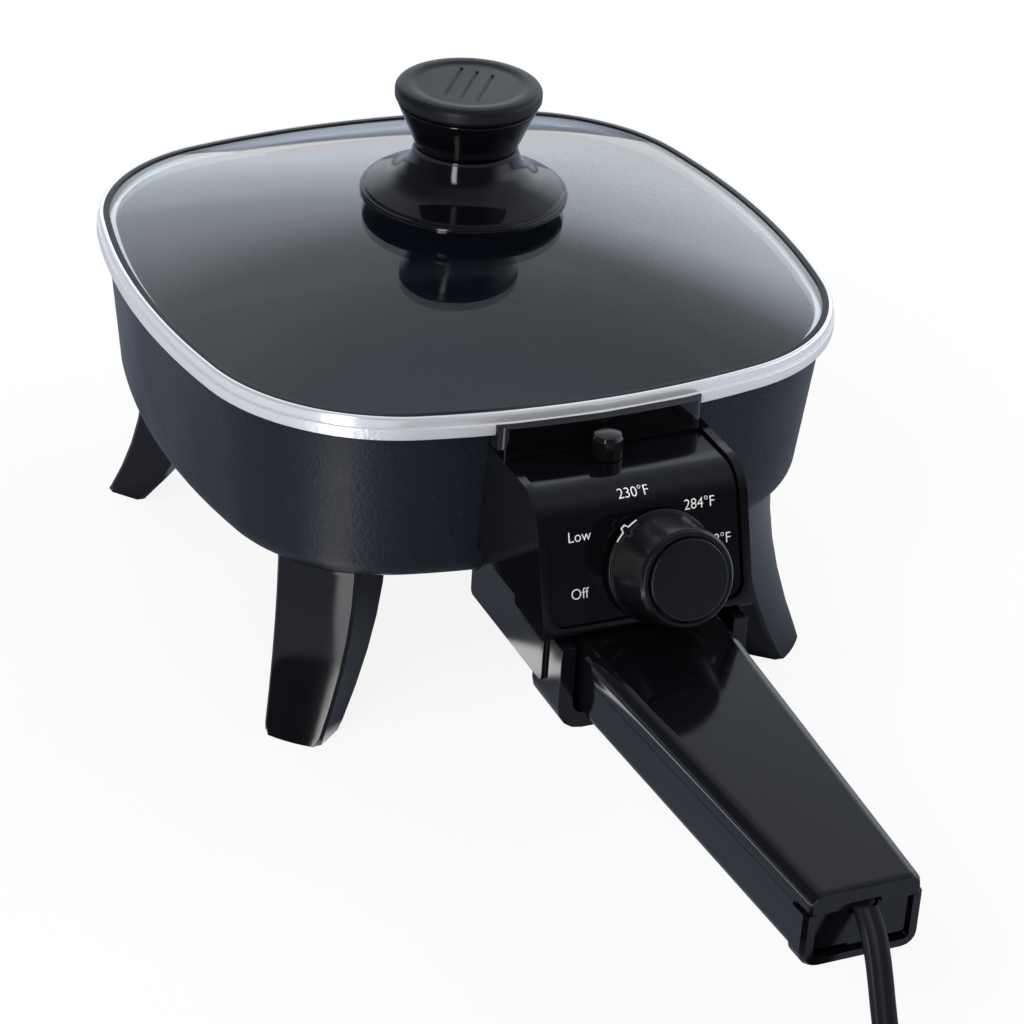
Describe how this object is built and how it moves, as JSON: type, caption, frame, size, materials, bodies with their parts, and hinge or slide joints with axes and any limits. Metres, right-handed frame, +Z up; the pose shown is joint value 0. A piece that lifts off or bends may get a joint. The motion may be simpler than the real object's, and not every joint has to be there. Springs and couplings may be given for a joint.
{
  "type": "electric skillet",
  "caption": "Square coated electric skillet on splayed legs with a control box and dial, a long hollow handle with cord, and a lift-off domed glass lid with a knob.",
  "frame": {"origin": "on the table, under the middle of the box round the skillet without its cord", "axes": "+X to the right seen from the handle, +Y from the handle towards the pan, +Z up"},
  "size_m": [0.1912, 0.4394, 0.1509],
  "materials": {
    "pan_coating": "dark charcoal non-stick coating, bare metal lip",
    "element_steel": "dull sheath",
    "steel": "plated",
    "phenolic": "glossy moulded phenolic",
    "satin_black": "satin",
    "lamp_lens": "dark translucent lens",
    "neon_glass": "unlit neon lamp",
    "brass": "plain",
    "ceramic": "unglazed ceramic",
    "cord_vinyl": "matte flat twin cord",
    "plug_vinyl": "moulded plug",
    "lid_glass": "clear tempered glass",
    "lid_steel": "polished stainless band",
    "silicone": "matte"
  },
  "bodies": {
    "skillet": {"pan_body": "pan_coating", "heating_element": "element_steel", "element_pin_left": "steel", "element_pin_right": "steel", "element_clamp_left": "steel", "element_clamp_right": "steel", "element_clamp_rear": "steel", "leg_front_left": "phenolic", "leg_front_right": "phenolic", "leg_rear_right": "phenolic", "leg_rear_left": "phenolic", "leg_screw_front_left": "steel", "leg_screw_front_right": "steel", "leg_screw_rear_right": "steel", "leg_screw_rear_left": "steel", "mounting_strap": "steel", "strap_screw_left": "steel", "strap_screw_right": "steel", "control_cover": "phenolic", "control_base": "phenolic", "housing_screw_left": "steel", "housing_screw_right": "steel", "dial_panel": "phenolic", "indicator_lens": "lamp_lens", "neon_lamp": "neon_glass", "thermostat_bushing": "brass", "thermostat_frame": "steel", "bimetal_blade": "brass", "contact_blade": "brass", "ceramic_spacer_upper": "ceramic", "ceramic_spacer_lower": "ceramic", "handle_top": "phenolic", "handle_bottom": "phenolic", "handle_screw_root": "steel", "handle_screw_end": "steel", "cord_clamp": "phenolic", "supply_lead": "cord_vinyl", "power_cord": "cord_vinyl", "cord_coil": "cord_vinyl", "cord_tie": "cord_vinyl", "plug_body": "plug_vinyl", "plug_blade_wide": "brass", "plug_blade_narrow": "brass"},
    "lid": {"lid_glass": "lid_glass", "lid_rim": "lid_steel", "lid_knob_gasket": "silicone", "lid_knob_base": "phenolic", "lid_knob_grip": "phenolic", "lid_knob_cap": "satin_black", "lid_knob_washer": "steel", "lid_knob_screw": "steel"},
    "dial": {"dial_knob": "satin_black", "dial_knob_cap": "satin_black", "thermostat_shaft": "steel"}
  },
  "joints": [
    {"name": "lid_lift", "type": "slide", "parent": "skillet", "child": "lid", "axis": [0, 0, 1], "range_m": [0, 0.15]},
    {"name": "dial_turn", "type": "hinge", "parent": "skillet", "child": "dial", "pos_m": [0.0036, -0.05024, 0.06914], "axis": [0, 0.9556, -0.2946], "range_deg": [-71, 122]}
  ]
}
